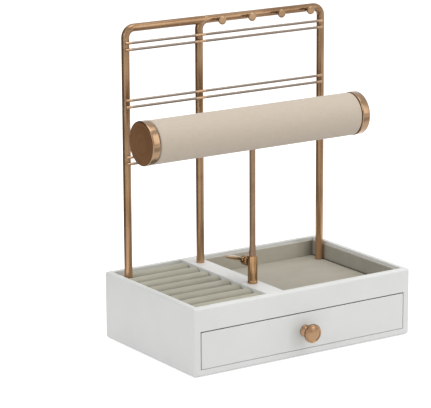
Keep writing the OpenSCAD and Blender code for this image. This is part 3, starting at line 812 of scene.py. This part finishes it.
# Bar: padded fabric sleeve.
# Fine beige cloth over thin foam, rolled round the tube and glued along one seam at the back;
# its ends are turned in behind the caps.
cushion_low, cushion_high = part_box("bar_sleeve")
bar_r = (cushion_high.z - cushion_low.z) / 2
bar_y, bar_z = middle_of("bar_sleeve")[1:]
core_low, core_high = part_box("bar_core")
core_r = (core_high.z - core_low.z) / 2 + 0.05 * mm
thread, waves_per_thread = 0.42 * mm, 0.314
linen, tree, shader, place = new_finish("fine_cloth", 0.88, Sheen_Weight=0.22,
                                        Sheen_Roughness=0.5, Specular_IOR_Level=0.2)
centred = node(tree, "Mapping", {"Vector": place, "Location": (0, -bar_y, -bar_z)})
parts = tree.nodes.new("ShaderNodeSeparateXYZ")
tree.links.new(centred, parts.inputs[0])
turn = node(tree, "Math", {0: parts.outputs["Z"], 1: parts.outputs["Y"]}, operation="ARCTAN2")
around = node(tree, "Math", {0: turn, 1: bar_r}, operation="MULTIPLY")
flat_cloth = node(tree, "CombineXYZ", {"X": parts.outputs["X"], "Y": around})
weft, warp = (node(tree, "TexWave", {
    "Vector": flat_cloth, "Scale": waves_per_thread / thread, "Distortion": 1.2,
    "Detail": 1, "Detail Scale": 1.5}, 1, bands_direction=way) for way in "XY")
weave = node(tree, "Math", {0: weft, 1: warp}, operation="MULTIPLY")
slub_x = speckle(tree, flat_cloth, 1900, 3, 0.6, (0.06, 1, 1))
slub_y = speckle(tree, flat_cloth, 1900, 3, 0.6, (1, 0.06, 1))
slub = node(tree, "Math", {0: slub_x, 1: slub_y}, operation="MULTIPLY")
tree.links.new(grade(tree, slub, (0.14, tone(190, 177, 161)), (0.25, tone(194, 181, 165)),
                     (0.38, tone(197, 185, 169))), shader.inputs["Base Color"])
relief(tree, shader, slub, 0.03 * mm, 0.5, relief(tree, shader, weave, 0.04 * mm, 0.5))

end_round, cap_shadow = 1.3 * mm, 0.4 * mm
seam_at, seam_depth, seam_w, slack = radians(-28), 0.35 * mm, 0.9 * mm, 0.06 * mm
rings_along = 40
cushion_low.x += cap_shadow
cushion_high.x -= cap_shadow
cushion = rod("bar_cushion", (cushion_low.x, bar_y, bar_z), (1, 0, 0), bar_r,
              cushion_high.x - cushion_low.x, sides=160)
take(cushion, "FACE", lambda at, facing: abs(facing.x) > 0.9)
bpy.ops.mesh.bevel(offset=end_round, offset_pct=0, segments=5)
done()
take(cushion, "FACE", lambda at, facing: abs(facing.x) > 0.99 and hypot(
    at.y - bar_y, at.z - bar_z) < core_r * 0.5)
bpy.ops.mesh.inset(thickness=bar_r - end_round - core_r)
bpy.ops.mesh.bridge_edge_loops()
done()
for station in range(1, rings_along):
    take(cushion, "FACE", lambda at, facing: abs(facing.x) < 0.1)
    there = cushion_low.x + (cushion_high.x - cushion_low.x) * station / rings_along
    bpy.ops.mesh.bisect(plane_co=(there, 0, 0), plane_no=(1, 0, 0))
    done()
for corner in cushion.data.vertices:
    y, z = corner.co.y - bar_y, corner.co.z - bar_z
    radius = hypot(y, z)
    if radius > core_r + 1 * mm:
        away = (atan2(z, y) - seam_at) * radius
        sag = slack * (1 + noise.noise(Vector((corner.co.x * 28, y * 60, z * 60))))
        seam = seam_depth * max(0, 1 - abs(away) / seam_w)
        corner.co.y -= y / radius * (sag + seam)
        corner.co.z -= z / radius * (sag + seam)
cut(cushion, rod("post_way", (post_x, bar_y, bar_z), (0, 0, -1), post_r + 0.3 * mm,
                 bar_r + beyond, sides=32))
shade_flat_sides(cushion, 40)
wear(cushion, linen)
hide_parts("bar_sleeve")
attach(cushion, "bar")


# Bar: end caps.
# Spun metal cups, their rims pushed into the card tube. The band is polished and lacquered
# over the plating; the flat face keeps the brushing and looks darker.
def turned_rings(centre, axis):
    """Fine turning lines round an axis."""
    def lines(tree, place):
        moved = node(tree, "VectorMath", {0: place, 1: centre}, operation="SUBTRACT")
        along = node(tree, "VectorMath", {0: moved, 1: axis}, 1, operation="DOT_PRODUCT")
        across = node(tree, "VectorMath", {0: moved, 1: axis}, operation="CROSS_PRODUCT")
        radius = node(tree, "VectorMath", {0: across}, 1, operation="LENGTH")
        ring = node(tree, "CombineXYZ", {"X": radius, "Y": along})
        drift = node(tree, "VectorMath", {0: place, "Scale": 0.04}, operation="SCALE")
        return node(tree, "VectorMath", {0: ring, 1: drift}, operation="ADD")
    return lines


cap_axis = turned_rings((0, bar_y, bar_z), (1, 0, 0))
cap_band = copper_finish("copper_band", tone(145, 115, 84), tone(139, 109, 79), 0.23, cap_axis,
                         marks=0.3)
lacquer = cap_band.node_tree.nodes["Principled BSDF"]
lacquer.inputs["Coat Weight"].default_value = 0.8
lacquer.inputs["Coat Roughness"].default_value = 0.25
cap_face = copper_finish("copper_face", tone(158, 114, 80), tone(146, 104, 70), 0.36, cap_axis,
                         0.5)
cap_low, cap_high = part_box("cap_right")
cap_r = (cap_high.z - cap_low.z) / 2
band, face_edge, cap_wall = 7 * mm, 0.8 * mm, 1.6 * mm
spigot_r, spigot_wall = 12.25 * mm, 1.2 * mm
spigot_len = cap_high.x - cap_low.x - band
cap = turned("cap", [
    (band - cap_wall, 0), (band - cap_wall, spigot_r - spigot_wall),
    (-spigot_len, spigot_r - spigot_wall), (-spigot_len, spigot_r), (0, spigot_r),
    (0, cap_r - 0.7 * mm), (0.5 * mm, cap_r - 0.1 * mm), (1.2 * mm, cap_r),
    (band - 1.1 * mm, cap_r), (band - 0.45 * mm, cap_r - 0.12 * mm),
    (band - 0.1 * mm, cap_r - 0.45 * mm), (band, cap_r - face_edge),
    (band - 0.15 * mm, cap_r - face_edge - 0.2 * mm), (band - 0.2 * mm, 0)],
    (cap_high.x - band, bar_y, bar_z), (1, 0, 0), steps=128, corner_round=0.2 * mm)
wear(cap, cap_band, cap_face)
for facet in cap.data.polygons:
    inward = hypot(facet.center.y - bar_y, facet.center.z - bar_z)
    if facet.center.x > cap_high.x - 0.6 * mm and inward < cap_r - face_edge - 0.1 * mm:
        facet.material_index = 1
for name, way in (("cap_left", pi), ("cap_right", 0)):
    middle = Matrix.Translation((post_x, bar_y, 0))
    made = another(cap, name.replace("cap", "end_cap"),
                   middle @ Matrix.Rotation(way, 4, "Z") @ middle.inverted())
    shade_round(made, 40)
    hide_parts(name)
    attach(made, "bar")
bpy.data.objects.remove(cap)


# Drawer: front and lining.
# The front is a painted board with rounded edges, flush in its opening and hung a little low
# and to the right, so that its gap is widest on top. Velvet paper lies on the drawer's bottom.
# A dark brown for the front's edges behind its rounded lip: partly the raw board edge, and darker
# than bare fibreboard as painted shade in the gap round the drawer.
edge_gap_shade, tree, shader, place = new_finish("raw_edge_painted_gap_shade", 0.85, Specular_IOR_Level=0.2)
chip = speckle(tree, place, 1300, 4, 0.6)
tree.links.new(grade(tree, chip, (0.35, tone(104, 92, 78)), (0.65, tone(128, 115, 98))),
               shader.inputs["Base Color"])
relief(tree, shader, chip, 0.05 * mm, 0.5)
face_drop, face_shift, face_short = 0.38 * mm, 0.22 * mm, 0.12 * mm
face_round = 0.7 * mm
front = block("drawer_face", face_low - Vector((0, 0, face_drop)),
              face_high + Vector((face_shift, 0, -face_short)))
soften(front, face_round, 4, lambda a, b: 1 if a.y + b.y < 2 * face_high.y - 1 * mm else 0.3)
knob_z = middle_of("knob")[2]
cut(front, rod("knob_way", (0, face_low.y - beyond, knob_z), (0, 1, 0), screw_hole, 2 * beyond,
               sides=24))
shade_flat_sides(front)
wear(front, paint, edge_gap_shade)
# Edge faces behind the lip take the dark edge colour, painted shade in the gap.
for facet in front.data.polygons:
    if abs(facet.normal.y) < 0.1 and facet.center.y > face_low.y + 1 * mm:
        facet.material_index = 1
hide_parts("drawer_front")
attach(front, "drawer")

lining_low, lining_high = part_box("drawer_lining")
lining_size = lining_high - lining_low
lining_t, lining_wave, lining_lift = 0.6 * mm, 0.17 * mm, 0.02 * mm
bpy.ops.mesh.primitive_grid_add(
    x_subdivisions=60, y_subdivisions=40, size=1,
    location=((lining_low.x + lining_high.x) / 2, (lining_low.y + lining_high.y) / 2,
              lining_low.z + lining_t / 2 + lining_lift))
bpy.context.active_object.scale = (lining_size.x, lining_size.y, 1)
lining = named("drawer_cloth")
for corner in lining.data.vertices:
    corner.co.z += lining_wave * (1 + noise.noise(corner.co * 30))
refine(lining, "SOLIDIFY", thickness=lining_t, offset=0)
shade_round(lining, 40)
wear(lining, velvet)
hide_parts("drawer_lining")
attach(lining, "drawer")


# Knob.
# Turned in one piece from brass and plated: a flanged foot, a waisted stem and a shallow domed
# head with a fine ring near its edge.
knob_low, knob_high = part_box("knob")
knob_r = (knob_high.x - knob_low.x) / 2
reach = knob_high.y - knob_low.y
foot_r, waist_r, head = 4.7 * mm, 2.5 * mm, 4.4 * mm
knob = turned("pull_knob", [
    (8 * mm, 0), (8 * mm, screw_hole), (0, screw_hole), (0, foot_r), (1 * mm, foot_r),
    (1.7 * mm, foot_r - 0.7 * mm), (2.3 * mm, 3.3 * mm), (3.2 * mm, 2.75 * mm),
    (4.6 * mm, waist_r), (6 * mm, 2.8 * mm), (7.2 * mm, 3.8 * mm),
    (reach - head, 5.2 * mm), (reach - head + 0.5 * mm, knob_r - 0.9 * mm),
    (reach - head + 1.2 * mm, knob_r - 0.1 * mm), (reach - head + 2.2 * mm, knob_r),
    (reach - 1.3 * mm, knob_r - 0.25 * mm), (reach - 0.85 * mm, knob_r - 0.9 * mm),
    (reach - 1.4 * mm, knob_r - 1.5 * mm), (reach - 0.8 * mm, knob_r - 2.6 * mm),
    (reach - 0.2 * mm, knob_r - 5 * mm), (reach, 0)],
    (0, knob_high.y, knob_z), (0, -1, 0), steps=96, corner_round=0.18 * mm)
shade_round(knob, 40)
wear(knob, copper_finish("copper_knob", tone(156, 125, 97), tone(140, 109, 82), 0.22,
                         turned_rings((0, 0, knob_z), (0, 1, 0))))
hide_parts("knob")
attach(knob, "drawer")


# Floor and light.
# A pale floor that stays white round the object's soft shadow, a white studio, one wide lamp
# overhead, a tall one at the front right and a small one on the left.
def seen_rays(tree):
    """1 for what the camera sees, itself or in gloss and glass, and 0 for light on the object."""
    path = tree.nodes.new("ShaderNodeLightPath")
    camera_ray, glossy_ray, through_ray = (path.outputs[f"Is {kind} Ray"] for kind in (
        "Camera", "Glossy", "Transmission"))
    seen = node(tree, "Math", {0: camera_ray, 1: glossy_ray}, operation="MAXIMUM")
    return node(tree, "Math", {0: seen, 1: through_ray}, operation="MAXIMUM")


floor_tone, floor_glow, floor_size, floor_back = 0.76, 0.7, 14, 2
bpy.ops.mesh.primitive_plane_add(size=floor_size, location=(0, floor_back, 0))
floor = named("studio_floor")
white, tree, shader, _ = new_finish("studio_floor", 0.9, Specular_IOR_Level=0.1)
shader.inputs["Base Color"].default_value = (floor_tone, floor_tone, floor_tone, 1)
glow = node(tree, "Math", {0: seen_rays(tree), 1: floor_glow}, operation="MULTIPLY")
shader.inputs["Emission Color"].default_value = (1, 1, 1, 1)
tree.links.new(glow, shader.inputs["Emission Strength"])
wear(floor, white)

studio_level = 0.74
studio = bpy.data.worlds.new("studio")
studio.use_nodes = True
bpy.context.scene.world = studio
tree = studio.node_tree
backdrop = tree.nodes["Background"]
backdrop.inputs["Color"].default_value = (1, 1, 1, 1)
tree.links.new(spread(tree, seen_rays(tree), studio_level, 1, 0, 1), backdrop.inputs["Strength"])


def lamp(name, at, aim, wide, high, power):
    """A soft lamp at a place, turned to what it lights."""
    bpy.ops.object.light_add(type="AREA", location=at)
    made = bpy.context.active_object
    made.name = name
    made.rotation_euler = (Vector(aim) - Vector(at)).to_track_quat("-Z", "Y").to_euler()
    made.data.shape = "RECTANGLE"
    made.data.size, made.data.size_y = wide, high
    made.data.energy = power


aim = (0, 0, 0.1)
lamp("lamp_overhead", (0.1, -0.15, 1.35), aim, wide=0.8, high=0.8, power=5.5)
lamp("lamp_front_right", (0.78, -1.24, 0.8), aim, wide=0.55, high=1.2, power=4.3)
lamp("lamp_left", (-1.6, -0.45, 0.75), aim, wide=0.6, high=0.6, power=3.9)


# Grey cards round the stand, as used for metal: only gloss sees them. One stands behind on the
# left and gives the tubes their dark left edges; one lies in front and gives the caps a stripe.
def grey_card(name, corner, along, across, level):
    """A card from one corner along its two edges, seen by gloss alone."""
    bpy.ops.mesh.primitive_plane_add(size=1)
    card = named(name)
    for number, point in enumerate(card.data.vertices):
        point.co = Vector(corner) + Vector(along) * (number % 2) + Vector(across) * (number // 2)
    finish, tree, shader, _ = new_finish(name, 1)
    tree.nodes.remove(shader)
    glow = node(tree, "Emission", {"Color": (1, 1, 1, 1), "Strength": level})
    tree.links.new(glow, tree.nodes["Material Output"].inputs["Surface"])
    wear(card, finish)
    card.visible_camera = card.visible_diffuse = card.visible_shadow = False
    card.visible_transmission = card.visible_volume_scatter = False


grey_card("card_behind", (-0.34, 0.03, 0), (0.29, 0.33, 0), (0, 0, 0.45), level=0.04)
grey_card("card_in_front", (-0.05, -0.62, 1 * mm), (0.65, 0, 0), (0, 0.35, 0), level=0.76)


# The photograph's view.
# A long lens at the front left, nearly two metres off and looking down on the box by 14
# degrees, fitted to the box's corners, the bar and the frame.
turn, tilt, roll_over = radians(-33.54), radians(13.91), radians(-0.28)
distance, lens, film_width = 1868 * mm, 200.2, 36
target = Vector((-39.68, 0, 114.35)) * mm
back = Vector((sin(turn) * cos(tilt), -cos(turn) * cos(tilt), sin(tilt)))
right = Vector((cos(turn), sin(turn), 0))
up = back.cross(right)
side = right * cos(roll_over) + up * sin(roll_over)
top = up * cos(roll_over) - right * sin(roll_over)
bpy.ops.object.camera_add()
camera = bpy.context.active_object
camera.name = "photo_view"
camera.data.lens = lens
camera.data.sensor_width = film_width
camera.matrix_world = Matrix.Translation(target + back * distance) @ Matrix(
    (side, top, back)).transposed().to_4x4()
scene = bpy.context.scene
scene.camera = camera
scene.view_settings.view_transform = "Standard"
